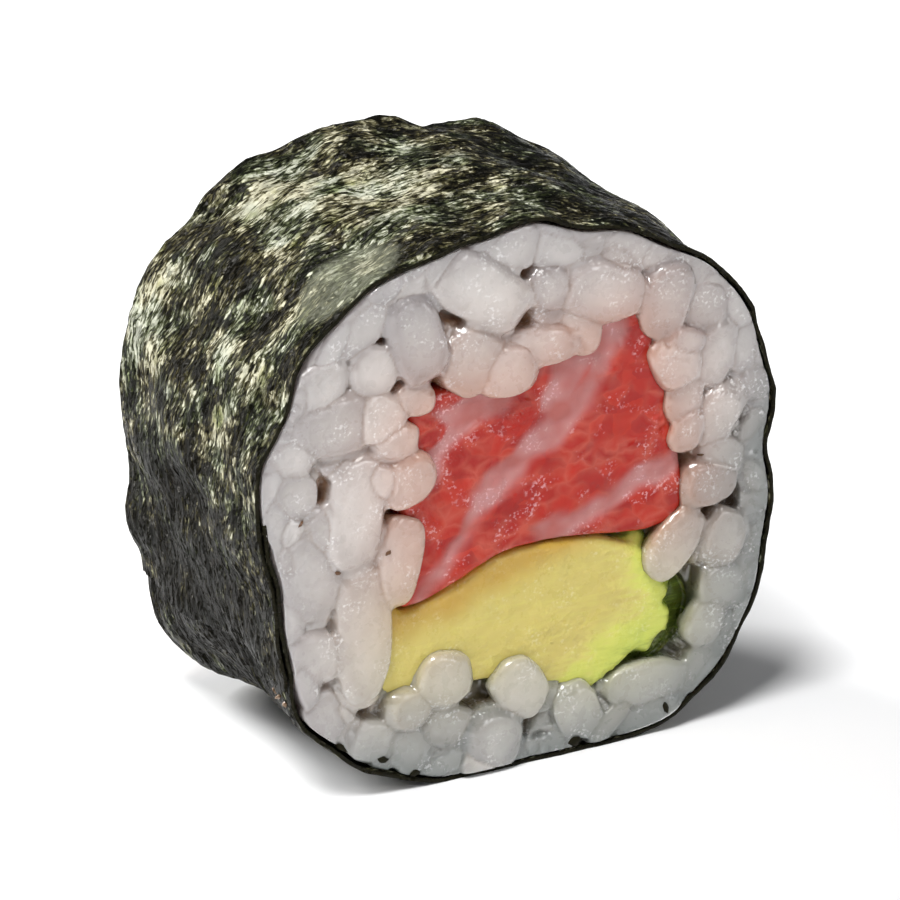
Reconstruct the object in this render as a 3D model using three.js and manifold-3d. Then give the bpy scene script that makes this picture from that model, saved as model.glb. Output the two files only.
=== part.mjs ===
// A cut piece of hosomaki, the thin sushi roll, lying on its side: a sheet of nori wound once
// round a bed of sushi rice, with a strip of raw fish over a strip of avocado in the middle.
// Millimetres, +Z up. The roll's axis is Y and the shown cut face looks along -Y. The origin is
// under the middle of the roll, on the flat spot that it rests on. Hours are places round the
// roll as on a clock that is read on the shown face.

import * as THREE from "three";
import { mergeVertices } from "three/addons/utils/BufferGeometryUtils.js";
import Module from "manifold-3d";

const wasm = await Module();
wasm.setup();

// The roll
const ROLL_LENGTH = 17; // from cut face to cut face
const MEAN_RADIUS = 15.95; // of the section, to the outside of the nori
const CENTRE_HEIGHT = 15.3; // of the section's middle above the flat spot
const SECTION_LOBES = [
  // the section swells by rise at each of count places, one of them at the hour
  { count: 1, rise: 0.46, hour: 5.57 },
  { count: 2, rise: 0.32, hour: 11.07 },
  { count: 4, rise: 0.62, hour: 1.5 },
  { count: 5, rise: 0.27, hour: 11.9 },
  { count: 8, rise: 0.15, hour: 0.37 },
];
const BULGES = [
  // where the wall stands out, or with a negative rise is dented, and how far that reaches
  { hour: 7.2, along: 8.5, rise: 0.95, hours: 1.1, mm: 8 },
  { hour: 7.8, along: -2, rise: -0.5, hours: 0.9, mm: 6 },
  { hour: 7.1, along: -8.5, rise: 0.4, hours: 0.6, mm: 6 },
  { hour: 9.2, along: 8.5, rise: -0.45, hours: 0.9, mm: 6 },
  { hour: 11.8, along: 8.5, rise: 0.45, hours: 0.5, mm: 5 },
  { hour: 0.5, along: 8.5, rise: -0.45, hours: 0.4, mm: 4 },
  { hour: 1.1, along: 8.5, rise: 0.45, hours: 0.5, mm: 5 },
];
const LUMPS = [
  // the rice that shows through the sheet as low waves, round the roll and along it
  { rise: 0.13, round: 9, along: 0.55, shift: 0.4 },
  { rise: 0.11, round: 14, along: -0.7, shift: 1.9 },
  { rise: 0.09, round: 19, along: 0.35, shift: 3.1 },
];
const FLAT_HOURS = 0.9; // half the width of the flat spot, which has no bulges or lumps
const FLAT_EASE_HOURS = 0.5;

// The nori sheet
const NORI_THICKNESS = 0.3;
const FLAP_END_HOUR = 8; // the sheet's outer end, which laps over its start
const SHEET_START_HOUR = 9.2;
const NORI_STEPS_ROUND = 80;
const NORI_STEPS_LONG = 6;

// The rice
const FIT_GAP = 0.1; // left between pieces that touch
const CORE_SETBACK = 1.5; // of the solid rice behind the cut face
const GRAIN_WIDE = 3.2;
const GRAIN_LONG = 4.8;
const GRAIN_SIDES = 7;
const GRAIN_END_STEPS = 2;
const SLANT_MOST = 1.2; // radians that a grain's length turns away from the roll's axis
const GRAIN_PITCH = 2.75; // between the middles of a course's grains
const COURSES = [
  // rounds of grains: how deep they lie under the roll's side, and stand out of the cut face
  { depth: 2.1, proud: 0 },
  { depth: 4.3, proud: 0.2 },
  { depth: 6.7, proud: 0.3 },
];
const JITTER = 0.8; // how much the place of a grain varies
const FILLING_MARGIN = 0.7; // least distance from a grain's middle to a filling

// The fillings, as points (x, z) on the cut face that a smooth closed curve goes through
const FILLING_SETBACK = 0.35; // of a filling's end behind the cut face
const FILLING_EDGE = 0.35; // how far its cut edge is rounded
const FILLING_EDGE_STEPS = 2;
const FILLING_STEPS = 44;
const FISH_OUTLINE = [
  [-6.3, 21.4],
  [-0.4, 22.6],
  [3.6, 24.1],
  [6.7, 24.7],
  [8.2, 22.2],
  [9.3, 17.8],
  [9.4, 12.2],
  [2.3, 12.3],
  [-1.0, 12.2],
  [-4.4, 10.8],
  [-6.9, 10.3],
  [-6.9, 15.6],
];
const AVOCADO_OUTLINE = [
  [-8.0, 10.2],
  [-4.6, 10.6],
  [-1.0, 12.3],
  [2.6, 12.5],
  [6.3, 11.3],
  [9.0, 9.4],
  [10.6, 7.2],
  [9.6, 4.6],
  [5.2, 3.1],
  [-1.3, 5.0],
  [-5.0, 5.1],
  [-8.0, 5.6],
];

const HALF_LENGTH = ROLL_LENGTH / 2;
const FULL_TURN = 2 * Math.PI;
const hour = (h) => (h * FULL_TURN) / 12;

// A clock angle is 0 at twelve o'clock and grows clockwise.
const clockOf = (x, z) => Math.atan2(x, z - CENTRE_HEIGHT);
const turnFrom = (start, clock) => THREE.MathUtils.euclideanModulo(clock - start, FULL_TURN);
const hoursApart = (clock, h) => (6 / Math.PI) * Math.abs(turnFrom(hour(h) - Math.PI, clock) - Math.PI);
const ease = (low, high, value) => THREE.MathUtils.smoothstep(value, low, high);

function sectionRadius(clock) {
  const swell = (lobe) => lobe.rise * Math.cos(lobe.count * (clock - hour(lobe.hour)));
  return SECTION_LOBES.reduce((radius, lobe) => radius + swell(lobe), MEAN_RADIUS);
}

// The sheet is a spiral: in one turn from its outer end it sinks by one thickness.
function spiralInset(clock) {
  return (NORI_THICKNESS * turnFrom(hour(FLAP_END_HOUR), clock)) / FULL_TURN;
}

// A point of the section, so deep under the roll's side, which the board presses flat.
function sectionPoint(clock, depth) {
  const radius = sectionRadius(clock) - spiralInset(clock) - depth;
  const z = CENTRE_HEIGHT + radius * Math.cos(clock);
  return new THREE.Vector2(radius * Math.sin(clock), Math.max(z, depth));
}

// The flap lies on the start of the sheet, so there the nori is two layers thick.
function noriDepth(clock) {
  const overlap = hour(SHEET_START_HOUR - FLAP_END_HOUR);
  const covered = ease(overlap - hour(0.2), overlap, turnFrom(hour(FLAP_END_HOUR), clock));
  return NORI_THICKNESS * (2 - covered);
}

// Clock angles round the section, from just after the flap's end to just before it.
function clocksRound() {
  const nearEnd = 1e-3;
  const pitch = (FULL_TURN - 2 * nearEnd) / NORI_STEPS_ROUND;
  return Array.from({ length: NORI_STEPS_ROUND + 1 }, (_, i) => hour(FLAP_END_HOUR) + nearEnd + pitch * i);
}

// How far the wall of the roll stands out at a clock angle and a place along the roll.
function relief(clock, y) {
  const bulges = BULGES.map((b) => {
    const away = Math.hypot(hoursApart(clock, b.hour) / b.hours, (y - b.along) / b.mm);
    return b.rise * (1 - ease(0, 1, away));
  });
  const lumps = LUMPS.map((l) => l.rise * Math.sin(l.round * clock + l.along * y + l.shift));
  const offBoard = ease(FLAT_HOURS, FLAT_HOURS + FLAT_EASE_HOURS, hoursApart(clock, 6));
  return offBoard * [...bulges, ...lumps].reduce((a, b) => a + b);
}

// Gives the wall of a roll-shaped geometry its relief.
function pressWall(geometry) {
  const at = geometry.getAttribute("position");
  for (let i = 0; i < at.count; i++) {
    const [x, y, z] = [at.getX(i), at.getY(i), at.getZ(i)];
    const clock = clockOf(x, z);
    const rise = relief(clock, THREE.MathUtils.clamp(y, -HALF_LENGTH, HALF_LENGTH));
    at.setXYZ(i, x + rise * Math.sin(clock), y, z + rise * Math.cos(clock));
  }
  return geometry;
}

// A flat shape in x and z, extruded along the roll's axis and centred on its middle.
function alongRoll(shape, length, options) {
  const geometry = new THREE.ExtrudeGeometry(shape, { depth: length, bevelEnabled: false, ...options });
  return geometry.rotateX(Math.PI / 2).translate(0, length / 2, 0);
}

// A closed three.js geometry as a solid that can be joined and cut.
function solidOf(geometry) {
  const bare = geometry.clone();
  bare.deleteAttribute("normal");
  bare.deleteAttribute("uv");
  const merged = mergeVertices(bare, 1e-3);
  return new wasm.Manifold(
    new wasm.Mesh({
      numProp: 3,
      vertProperties: merged.getAttribute("position").array,
      triVerts: new Uint32Array(merged.index.array),
    }),
  );
}

function geometryOf(solid) {
  const mesh = solid.getMesh();
  const geometry = new THREE.BufferGeometry();
  geometry.setAttribute("position", new THREE.BufferAttribute(mesh.vertProperties, 3));
  geometry.setIndex(new THREE.BufferAttribute(mesh.triVerts, 1));
  geometry.computeVertexNormals();
  return geometry;
}

// The largest body of a solid, without loose scraps.
function mainBody(solid) {
  return solid.decompose().reduce((a, b) => (a.volume() > b.volume() ? a : b));
}

// The roll within a depth under its side, so many steps long.
function rollSolid(depthAt, steps) {
  const shape = new THREE.Shape(clocksRound().map((clock) => sectionPoint(clock, depthAt(clock))));
  return solidOf(pressWall(alongRoll(shape, (ROLL_LENGTH * steps) / NORI_STEPS_LONG, { steps })));
}

// What the nori holds runs on past both ends of it.
const insideNori = (gap) => rollSolid((clock) => noriDepth(clock) + gap, NORI_STEPS_LONG + 2);

const noriGeometry = () => geometryOf(rollSolid(() => 0, NORI_STEPS_LONG).subtract(insideNori(0)));

// The closed smooth curve through a filling's points, moved out by margin.
function fillingOutline(points, margin) {
  const corners = points.map(([x, z]) => new THREE.Vector3(x, z, 0));
  const curve = new THREE.CatmullRomCurve3(corners, true);
  return Array.from({ length: FILLING_STEPS }, (_, i) => {
    const at = curve.getPointAt(i / FILLING_STEPS);
    const along = curve.getTangentAt(i / FILLING_STEPS);
    return new THREE.Vector2(at.x - margin * along.y, at.y + margin * along.x);
  });
}

// A strip of filling, grown sideways by a gap, that ends in a softly rounded cut.
function fillingSolid(points, length, gap) {
  const bevel = {
    bevelEnabled: true,
    bevelThickness: FILLING_EDGE,
    bevelSize: FILLING_EDGE + gap,
    bevelSegments: FILLING_EDGE_STEPS,
  };
  const shape = new THREE.Shape(fillingOutline(points, -FILLING_EDGE));
  return solidOf(alongRoll(shape, length - 2 * FILLING_EDGE, bevel));
}

const fillingStrip = (points) => fillingSolid(points, ROLL_LENGTH - 2 * FILLING_SETBACK, 0);

// What the rice and the other filling have to stay out of.
const fillingRoom = (points) => fillingSolid(points, 2 * ROLL_LENGTH, FIT_GAP);

const fishGeometry = () => geometryOf(fillingStrip(FISH_OUTLINE));

// The avocado fits under the fish.
function avocadoGeometry() {
  return geometryOf(mainBody(fillingStrip(AVOCADO_OUTLINE).subtract(fillingRoom(FISH_OUTLINE))));
}

// The same draws from 0 to 1 each run.
function randomFrom(seed) {
  let state = seed;
  return () => {
    state = (Math.imul(state, 1664525) + 1013904223) >>> 0;
    return state / 2 ** 32;
  };
}

// Whether a closed outline goes round the point.
function holds(outline, x, z) {
  const crossings = outline.filter((a, i) => {
    const b = outline[(i + 1) % outline.length];
    return a.y > z !== b.y > z && x < a.x + ((z - a.y) * (b.x - a.x)) / (b.y - a.y);
  });
  return crossings.length % 2 === 1;
}

// The grains that show on one cut face, in courses that follow the nori.
function grainSolids(face, random) {
  const fillings = [FISH_OUTLINE, AVOCADO_OUTLINE].map((points) => fillingOutline(points, FILLING_MARGIN));
  const vary = () => JITTER * (random() - 0.5);
  return COURSES.flatMap((course) => {
    const count = Math.round((FULL_TURN * (MEAN_RADIUS - course.depth)) / GRAIN_PITCH);
    const clocks = Array.from({ length: count }, (_, i) => ((i + vary()) * FULL_TURN) / count);
    const places = clocks.map((clock) => sectionPoint(clock, course.depth + vary()));
    const free = places.filter((place) => !fillings.some((filling) => holds(filling, place.x, place.y)));
    return free.map((place) => grainSolid(place, face, course.proud + vary(), random));
  });
}

// One cooked grain: plump, with round ends, at a slant to the roll's axis and proud of the cut.
function grainSolid(place, face, proud, random) {
  const straight = GRAIN_LONG - GRAIN_WIDE;
  const grain = new THREE.CapsuleGeometry(GRAIN_WIDE / 2, straight, GRAIN_END_STEPS, GRAIN_SIDES);
  grain.scale(0.85 + 0.3 * random(), 1, 0.85 + 0.3 * random()).rotateY(random() * FULL_TURN);
  grain.rotateX(random() * SLANT_MOST).rotateY(random() * FULL_TURN);
  grain.computeBoundingBox();
  const y = HALF_LENGTH + proud - grain.boundingBox.max.y;
  return solidOf(grain.translate(place.x, face * y, place.y));
}

// The bed of rice: a solid ring with the grains that show fused on at both cut faces.
function riceGeometry() {
  const random = randomFrom(7);
  const inside = insideNori(FIT_GAP);
  const slab = new THREE.BoxGeometry(3 * MEAN_RADIUS, ROLL_LENGTH - 2 * CORE_SETBACK, 5 * MEAN_RADIUS);
  const core = inside.intersect(solidOf(slab));
  const grains = [...grainSolids(-1, random), ...grainSolids(1, random)];
  const heap = wasm.Manifold.union([core, ...grains]).intersect(inside);
  return geometryOf(mainBody(heap.subtract(fillingRoom(FISH_OUTLINE)).subtract(fillingRoom(AVOCADO_OUTLINE))));
}

function piece(name, geometry, finish) {
  const mesh = new THREE.Mesh(geometry, new THREE.MeshStandardMaterial(finish));
  mesh.name = name;
  return mesh;
}

const roll = new THREE.Group();
roll.add(
  piece("nori_wrap", noriGeometry(), { color: 0x23281c, roughness: 0.45, metalness: 0 }),
  piece("rice_bed", riceGeometry(), { color: 0xe4ded6, roughness: 0.35, metalness: 0 }),
  piece("fish_strip", fishGeometry(), { color: 0xc2493a, roughness: 0.3, metalness: 0 }),
  piece("avocado_strip", avocadoGeometry(), { color: 0xcdbf5c, roughness: 0.4, metalness: 0 }),
);

export default roll;
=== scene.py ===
# %% [markdown]
# # A cut piece of hosomaki
# Hosomaki is the thin sushi roll. A sheet of nori is laid on a mat and covered with rice, the fillings are
# laid across it, and the mat rolls it up. The roll is then cut into pieces, and each piece shows a ring of
# rice grains round its fillings. This lesson builds one piece, lying on its side. The packed CAD model is the
# fixed frame: every piece made here sits where its CAD node sits.

# %% Load the frame
import math
import random

import bmesh
import bpy
import numpy as np
from mathutils import Matrix, Vector, noise
from mathutils.bvhtree import BVHTree
from mathutils.kdtree import KDTree


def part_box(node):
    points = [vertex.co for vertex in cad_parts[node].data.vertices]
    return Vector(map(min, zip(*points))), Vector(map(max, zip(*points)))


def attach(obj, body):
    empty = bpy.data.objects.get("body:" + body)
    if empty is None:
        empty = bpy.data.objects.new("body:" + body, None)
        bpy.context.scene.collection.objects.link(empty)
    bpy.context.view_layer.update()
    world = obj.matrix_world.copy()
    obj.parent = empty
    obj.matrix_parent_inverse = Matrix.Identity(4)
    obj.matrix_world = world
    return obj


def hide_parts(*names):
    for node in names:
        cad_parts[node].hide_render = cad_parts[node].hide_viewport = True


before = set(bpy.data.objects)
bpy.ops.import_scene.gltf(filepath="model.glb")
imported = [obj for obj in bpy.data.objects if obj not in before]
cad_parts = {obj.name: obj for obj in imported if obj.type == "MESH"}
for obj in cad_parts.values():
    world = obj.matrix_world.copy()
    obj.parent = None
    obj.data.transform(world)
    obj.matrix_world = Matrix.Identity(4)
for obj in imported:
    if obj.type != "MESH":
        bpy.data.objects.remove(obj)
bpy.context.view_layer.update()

for node_name in sorted(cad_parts):
    low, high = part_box(node_name)
    print(node_name, "is", [round((b - a) * 1000, 1) for a, b in zip(low, high)], "mm")

# %% [markdown]
# ## Working in millimetres
# Blender's unit here is the metre, but a grain of rice is easier to think of in millimetres. So every
# mesh is modelled in millimetres and made a thousand times smaller at the very end, when it becomes an
# object. Colours are written as the hex values that a colour picker shows. Those are sRGB, and a shader
# wants linear light, so one function turns them round.

# %% Units and colours
MM = 0.001


def linear(hex_colour):
    """An sRGB hex colour as the linear RGBA that a shader socket takes."""
    channels = [int(hex_colour[i : i + 2], 16) / 255 for i in (1, 3, 5)]
    bent = [c / 12.92 if c <= 0.04045 else ((c + 0.055) / 1.055) ** 2.4 for c in channels]
    return (*bent, 1.0)


print("white is", linear("#FFFFFF"))


# %% [markdown]
# ## From a bmesh to a piece of the model
# A bmesh is a mesh under construction. Three steps come back for every piece, so each is a function:
# taking a copy of a CAD node to start from, fusing overlapping shapes into one skin, and turning the
# result into an object that rides on the frame. The fusing is done by a voxel remesh, which wraps
# everything in one closed skin of small squares, as a real heap of sticky rice is one mass.

# %% Steps that every piece goes through
scene = bpy.context.scene


def copy_of_node(node):
    """A CAD node's mesh in millimetres, with its loose triangles merged into one surface."""
    bm = bmesh.new()
    bm.from_mesh(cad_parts[node].data)
    bmesh.ops.scale(bm, vec=(1 / MM,) * 3, verts=bm.verts)
    bmesh.ops.remove_doubles(bm, verts=bm.verts, dist=1e-3)
    return bm


def object_of(name, bm):
    """A new object that holds a bmesh's shape. The bmesh is used up."""
    mesh = bpy.data.meshes.new(name)
    bm.to_mesh(mesh)
    bm.free()
    piece = bpy.data.objects.new(name, mesh)
    scene.collection.objects.link(piece)
    return piece


def fused(bm, voxel):
    """One closed skin round everything in a bmesh, as a new bmesh."""
    lump = object_of("lump", bm)
    skin = lump.modifiers.new("Skin", "REMESH")
    skin.mode = "VOXEL"
    skin.voxel_size = voxel
    result = bmesh.new()
    result.from_object(lump, bpy.context.evaluated_depsgraph_get())
    bpy.data.meshes.remove(lump.data)
    return result


def smoothed(bm, rounds):
    """Rubs a bmesh soft: each round brings every vertex half way to the middle of its neighbours."""
    every_axis = {"use_axis_x": True, "use_axis_y": True, "use_axis_z": True}
    for _ in range(rounds):
        bmesh.ops.smooth_vert(bm, verts=bm.verts, factor=0.5, **every_axis)
    return bm


def points_of(bm):
    """The places of a bmesh's vertices, as an array of rows."""
    return np.array([v.co[:] for v in bm.verts])


def move_points(bm, points):
    """Puts a bmesh's vertices at the rows of an array."""
    for vert, place in zip(bm.verts, points):
        vert.co = place
    bm.normal_update()


def keep_as(bm, name, values):
    """Stores one number a vertex under a name that a material can read."""
    layer = bm.verts.layers.float.new(name)
    for vert, value in zip(bm.verts, values):
        vert[layer] = float(value)


def finish_piece(name, bm, material, node=None):
    """Makes a bmesh in millimetres a smooth-shaded piece in metres that rides on the frame."""
    bmesh.ops.scale(bm, vec=(MM,) * 3, verts=bm.verts)
    piece = object_of(name, bm)
    piece.data.shade_smooth()
    piece.data.materials.append(material)
    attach(piece, "root")
    if node:
        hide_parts(node)
    print(name, "has", len(piece.data.polygons), "faces")
    return piece


# %% [markdown]
# ## Materials as node trees
# A material is a small graph of nodes. One function adds a node with its settings and its links, and
# gives the output that the next node reads. An input may be a plain value, a hex colour, or the output
# of an earlier node, which is then linked. Stops are the places and hex colours of a colour ramp.


# %% Adding a node
def add_node(tree, kind, inputs=(), result=0, stops=(), **settings):
    """Adds a shader node and gives one of its outputs. The inputs go by name, or in their own order."""
    node = tree.nodes.new("ShaderNode" + kind)
    for key, value in settings.items():
        setattr(node, key, value)
    for key, value in inputs.items() if isinstance(inputs, dict) else enumerate(inputs):
        if isinstance(value, bpy.types.NodeSocket):
            tree.links.new(value, node.inputs[key])
        else:
            node.inputs[key].default_value = linear(value) if isinstance(value, str) else value
    if stops:
        elements = node.color_ramp.elements
        for element, (place, colour) in zip(elements, (stops[0], stops[-1])):
            element.position, element.color = place, linear(colour)
        for place, colour in stops[1:-1]:
            elements.new(place).color = linear(colour)
    return node.outputs[result] if node.outputs else None


def new_material(name):
    """A material with an empty tree, ready for a shader."""
    material = bpy.data.materials.new(name)
    material.use_nodes = True
    material.node_tree.nodes.clear()
    return material, material.node_tree


print("materials so far:", len(bpy.data.materials))


# %% [markdown]
# ## The camera
# The photograph was taken with a long lens from a little to the left and above. The camera stands
# there, far enough away that the roll hardly tapers. Its axes are kept, because they also tell where a
# pixel of the photograph lies on the cut face, and that is how the grains that show are placed.

# %% Camera
PHOTO_SIZE = 900  # pixels each way
CAMERA_TURN = math.radians(28)  # to the left of straight on
CAMERA_RISE = math.radians(23.4)
CAMERA_DISTANCE = 400  # mm
PIXELS_A_MM = 19.4  # at that distance
AIM = Vector((-4.26, -8.5, 18.92))  # the point that shows in the middle of the photograph

back = Vector((-math.sin(CAMERA_TURN), -math.cos(CAMERA_TURN), 0)) * math.cos(CAMERA_RISE)
back.z = math.sin(CAMERA_RISE)
right = Vector((math.cos(CAMERA_TURN), -math.sin(CAMERA_TURN), 0))
up = back.cross(right)
eye = AIM + back * CAMERA_DISTANCE

camera_data = bpy.data.cameras.new("camera")
camera_data.sensor_width = 36
camera_data.lens = 36 * CAMERA_DISTANCE * PIXELS_A_MM / PHOTO_SIZE
camera_data.clip_start, camera_data.clip_end = 0.01, 10
camera = bpy.data.objects.new("camera", camera_data)
camera.location = eye * MM
camera.rotation_euler = back.to_track_quat("Z", "Y").to_euler()
scene.collection.objects.link(camera)
scene.camera = camera
print("lens", round(camera_data.lens), "mm")

# %% [markdown]
# ## The form of the roll
# A roll is never a true cylinder. The mat presses it a little square, and the board flattens its
# underside. The section is drawn as a circle whose radius swells and sinks a few times round, and the
# side of the roll has a few bulges and dents, where the rice inside pushes on the sheet. Places round
# the roll are given as hours on a clock, read on the cut face that shows.

# %% Section of the roll
ROLL_LENGTH = 17.0
HALF_LENGTH = ROLL_LENGTH / 2
MEAN_RADIUS = 15.95
CENTRE_HEIGHT = 15.3
SECTION_LOBES = (  # how many, how much in mm, and the hour of the first
    (1, 0.46, 5.57),
    (2, 0.32, 11.07),
    (4, 0.62, 1.5),
    (5, 0.27, 11.9),
    (8, 0.15, 0.37),
)
BULGES = (  # hour, place along the roll, rise, reach in hours, reach in mm
    (7.2, 8.5, 0.95, 1.1, 8),
    (7.8, -2, -0.5, 0.9, 6),
    (7.1, -8.5, 0.4, 0.6, 6),
    (9.2, 8.5, -0.45, 0.9, 6),
    (11.8, 8.5, 0.45, 0.5, 5),
    (0.5, 8.5, -0.45, 0.4, 4),
    (1.1, 8.5, 0.45, 0.5, 5),
)
LUMPS = (  # rise, waves round the roll, turn along it, shift
    (0.13, 9, 0.55, 0.4),
    (0.11, 14, -0.7, 1.9),
    (0.09, 19, 0.35, 3.1),
)
NORI_THICKNESS = 0.3
FLAP_END_HOUR = 8
SHEET_START_HOUR = 9.2
FULL_TURN = 2 * math.pi


def hour(h):
    return h * FULL_TURN / 12


def ease(low, high, value):
    """0 below low, 1 above high and a soft S in between."""
    share = np.clip((value - low) / (high - low), 0, 1)
    return share * share * (3 - 2 * share)


def hours_apart(clock, h):
    """How many hours a place round the roll is from an hour, the short way."""
    return np.abs((clock - hour(h) + math.pi) % FULL_TURN - math.pi) * 6 / math.pi


def from_spot(clock, y, h, along, hours, reach):
    """How far a place on the side of the roll is from a spot on it, where 1 is the spot's bounds."""
    return np.hypot(hours_apart(clock, h) / hours, (y - along) / reach)


def section_radius(clock):
    return MEAN_RADIUS + sum(rise * np.cos(count * (clock - hour(h))) for count, rise, h in SECTION_LOBES)


def relief(clock, y):
    """How far the side of the roll stands out, off the flat spot under it."""
    y = np.clip(y, -HALF_LENGTH, HALF_LENGTH)
    out = sum(rise * np.sin(waves * clock + turn * y + shift) for rise, waves, turn, shift in LUMPS)
    for h, along, rise, hours, reach in BULGES:
        out = out + rise * (1 - ease(0, 1, from_spot(clock, y, h, along, hours, reach)))
    return out * ease(0.9, 1.4, hours_apart(clock, 6))


def rolled(turned, y, depth):
    """A point so deep in the spiral of the sheet, when it has turned so far from its outer end."""
    clock = hour(FLAP_END_HOUR) + turned
    radius = section_radius(clock) - NORI_THICKNESS * turned / FULL_TURN - depth
    x = radius * np.sin(clock)
    z = np.maximum(CENTRE_HEIGHT + radius * np.cos(clock), depth)
    pressed = np.arctan2(x, z - CENTRE_HEIGHT)
    rise = relief(pressed, y)
    return x + rise * np.sin(pressed), z + rise * np.cos(pressed)


print("top of the roll at", round(float(rolled(hour(4), 0, 0)[1]), 1), "mm")

# %% [markdown]
# ## The nori
# Nori is a thin sheet of dried seaweed, pressed from shreds like paper. Round moist rice it goes limp
# and takes on the lumps of the grains, and its fibres draw it into fine creases along the roll's
# curve. A grid holds the flat sheet first, and a UV map keeps where each spot lay on it. Then every
# spot is moved to its place on the roll. The sheet laps over its own start, so the roll is a spiral.

# %% Creases and ragged edges
SHEET_STEPS_ROUND = 344
SHEET_STEPS_LONG = 136
SHEET_TURN = FULL_TURN + hour(SHEET_START_HOUR - FLAP_END_HOUR)
SHEET_LENGTH = 110  # mm round the roll, from end to end
LEAF_THICKNESS = 0.2
FRONT_RAG, BACK_RAG = 0.07, 0.2  # mm that the two cut edges wander
RAG_STARTS = 6.5  # mm from the middle of the roll
TORN_NOTCHES = (  # in the back edge: hour, mm cut away, half width in hours
    (0.35, 0.5, 0.14),
    (11.1, -0.25, 0.2),
    (1.4, 0.3, 0.12),
)
UNDERSIDE_COSINE = -0.85  # below this the sheet is pressed flat on what it lies on
# A patch near the cut that is painted paler, a painted sheen.
PAINTED_SHEEN_PATCH = (10.85, -6.2, 0.42, 2.4)  # hour, place along the roll, reach in hours, reach in mm


def crinkle(along, across):
    """How far the sheet stands out at a spot on it, in mm: soft lumps, then creases, then fibres."""
    lump = noise.noise(Vector((along * 0.33, across * 0.33, 2)))
    crease = noise.noise(Vector((along * 0.4, across * 1.5, 7 + 0.6 * lump)))
    fibre = noise.noise(Vector((along * 0.9, across * 3.6, 13)))
    return 0.12 * lump + 0.2 * (0.4 - abs(crease)) + 0.08 * (0.4 - abs(fibre))


def edge_wander(along, side):
    """How far a cut edge of the sheet is from straight."""
    reach = FRONT_RAG if side < 0 else BACK_RAG
    slow = noise.noise(Vector((along * 0.5, side, 3)))
    quick = noise.noise(Vector((along * 2.1, side, 5)))
    wander = reach * (slow + 0.5 * quick)
    if side > 0:
        clock = hour(FLAP_END_HOUR) + SHEET_TURN * along / SHEET_LENGTH
        for h, cut, half in TORN_NOTCHES:
            wander -= cut * float(1 - ease(0, 1, hours_apart(clock, h) / half))
    return side * wander


print("the corner of the sheet stands", round(crinkle(0, 0), 2), "mm out")

# %% [markdown]
# The grid is rolled up in one step. Beside its shape it keeps two things that the finish reads: the painted
# sheen and painted shade of each spot, which decide how pale it looks, and where a patch of painted sheen
# lies.

# %% Nori sheet
nori = bmesh.new()
bmesh.ops.create_grid(nori, x_segments=SHEET_STEPS_ROUND, y_segments=SHEET_STEPS_LONG, size=0.5)
sheet_uv = nori.loops.layers.uv.new("sheet")
for face in nori.faces:
    for loop in face.loops:
        loop[sheet_uv].uv = (loop.vert.co.x + 0.5, loop.vert.co.y + 0.5)

# Patches painted paler as painted sheen; where the amount is below 0 they are painted darker, as painted
# shade.
PAINTED_SHEEN_AND_SHADE_PLACES = (  # hour, place along the roll, reach in hours, reach in mm, how much paler
    (11.2, 1.5, 1.5, 14, 0.18),
    (9.8, -3.5, 0.9, 6, 0.2),
    (9.9, 6.8, 0.6, 5, 0.42),
    (12.0, -2.5, 0.8, 10, 0.08),
    (10.6, 2.8, 0.5, 4, -0.2),
    (8.1, 0, 1.3, 16, -0.4),
    (9.05, 1.8, 0.4, 5, -0.35),
    (11.0, 3.6, 0.5, 6, 0.3),
    (11.5, 0.4, 0.4, 5, 0.15),
    (12.9, 0, 0.6, 12, -0.15),
    (3.0, 0, 1.5, 9, 0.16),
    (5.0, 4, 0.9, 6, 0.1),
)

flat = points_of(nori)
turned = (flat[:, 0] + 0.5) * SHEET_TURN
across = flat[:, 1] * ROLL_LENGTH
along = turned * SHEET_LENGTH / SHEET_TURN
stand_out = np.array([crinkle(a, b) for a, b in zip(along, across)])
near_edge = ease(RAG_STARTS, HALF_LENGTH, np.abs(across))
rag = [edge_wander(a, math.copysign(1, b)) for a, b in zip(along, across)]
place_y = across + np.array(rag) * near_edge
clock = hour(FLAP_END_HOUR) + turned
lifted = np.where(np.cos(clock) < UNDERSIDE_COSINE, 0, 1)
sheet_x, sheet_z = rolled(turned, across, -stand_out * lifted)
move_points(nori, np.column_stack((sheet_x, place_y, np.maximum(sheet_z, 0))))
painted_sheen_and_shade = np.zeros(len(along))
for h, middle, hours, reach, amount in PAINTED_SHEEN_AND_SHADE_PLACES:
    painted_sheen_and_shade += amount * (1 - ease(0, 1, from_spot(clock, across, h, middle, hours, reach)))
keep_as(nori, "painted_sheen_and_shade", painted_sheen_and_shade)
keep_as(nori, "painted_sheen_patch", 1 - ease(0.75, 1, from_spot(clock, across, *PAINTED_SHEEN_PATCH)))
print("the sheet is", SHEET_LENGTH, "mm by", ROLL_LENGTH, "mm, in", len(nori.faces), "faces")

# %% [markdown]
# ## The strips of fish and avocado
# The fillings run right through the roll, and the cut goes through them with the same stroke of the
# knife. Their CAD solids have the right outline, so a copy of each is the starting block. It is
# remeshed into small even squares, its edges are rubbed soft, and then the cut faces get what a knife
# leaves: raw fish parts along its muscle blocks, and ripe avocado tears a little at its rim.

# %% Blocks for the fillings
FILLING_VOXEL = 0.2
FACE_PLACE = 8.15  # how far from the middle of the roll a filling's cut face lies
RELIEF_STARTS, RELIEF_FULL = 0.9, 0.1  # mm behind it that the relief of the cut starts and is full
BLOCK_ROUNDS = 4  # how often a block is rubbed soft


def filling_block(bm):
    """A strip of filling, remeshed into small squares and rubbed soft."""
    return smoothed(fused(bm, FILLING_VOXEL), BLOCK_ROUNDS)


def wavy(points, pitch, seed):
    """Soft noise at each point, from about -1 to 1, whose waves are a pitch long in mm."""
    return np.array([noise.noise(Vector(p) / pitch + Vector((seed, 0, 0))) for p in points])


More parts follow.
